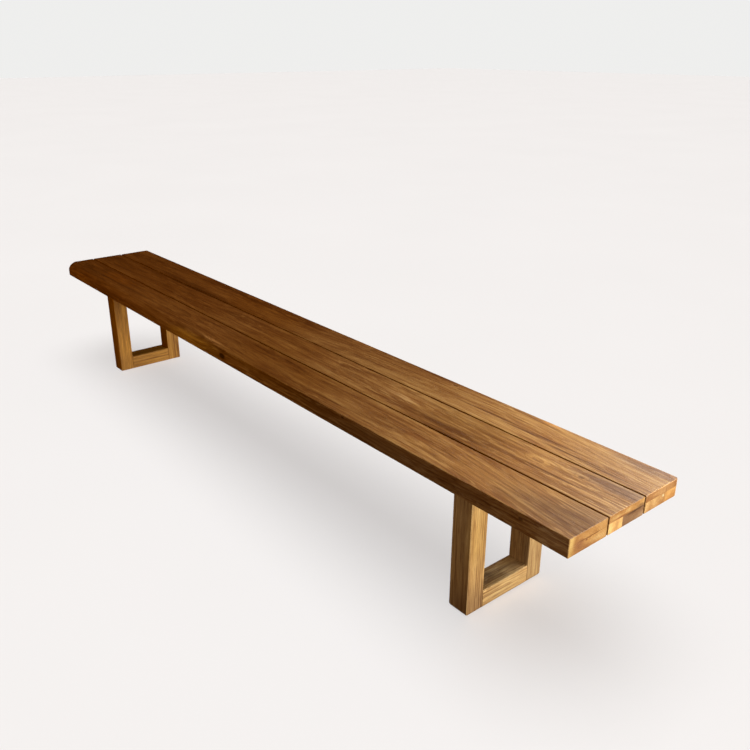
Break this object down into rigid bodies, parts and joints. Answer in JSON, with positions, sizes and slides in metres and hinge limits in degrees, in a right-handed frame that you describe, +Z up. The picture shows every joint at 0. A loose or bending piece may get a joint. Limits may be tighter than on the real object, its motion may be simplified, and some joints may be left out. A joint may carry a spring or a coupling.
{
  "type": "backless bench",
  "caption": "Long backless bench of thick laminated hardwood planks with narrow drainage gaps, standing on closed rectangular leg frames.",
  "frame": {"origin": "on the floor, under the middle of the seat", "axes": "+X along the bench, +Y from its front to its back, +Z up"},
  "size_m": [3, 0.42, 0.45],
  "materials": {
    "seat_wood": "oiled",
    "leg_wood": "oiled",
    "batten_wood": "oiled",
    "dowel_wood": "plain",
    "steel": "zinc plated"
  },
  "bodies": {
    "root": {"front_plank_top_board": "seat_wood", "front_plank_lower_stave_front": "seat_wood", "front_plank_lower_stave_back": "seat_wood", "middle_plank_top_board": "seat_wood", "middle_plank_lower_stave_front": "seat_wood", "middle_plank_lower_stave_back": "seat_wood", "back_plank_top_board": "seat_wood", "back_plank_lower_stave_front": "seat_wood", "back_plank_lower_stave_back": "seat_wood", "leg_batten_left": "batten_wood", "leg_batten_right": "batten_wood", "mid_batten_left": "batten_wood", "mid_batten_centre": "batten_wood", "mid_batten_right": "batten_wood", "front_upright_left": "leg_wood", "back_upright_left": "leg_wood", "bottom_rail_left": "leg_wood", "top_rail_left": "leg_wood", "lag_bolts_left": "steel", "lag_washers_left": "steel", "locating_dowels_left": "dowel_wood", "screws_leg_batten_left": "steel", "front_upright_right": "leg_wood", "back_upright_right": "leg_wood", "bottom_rail_right": "leg_wood", "top_rail_right": "leg_wood", "lag_bolts_right": "steel", "lag_washers_right": "steel", "locating_dowels_right": "dowel_wood", "screws_leg_batten_right": "steel", "screws_mid_batten_left": "steel", "screws_mid_batten_centre": "steel", "screws_mid_batten_right": "steel"}
  },
  "joints": []
}
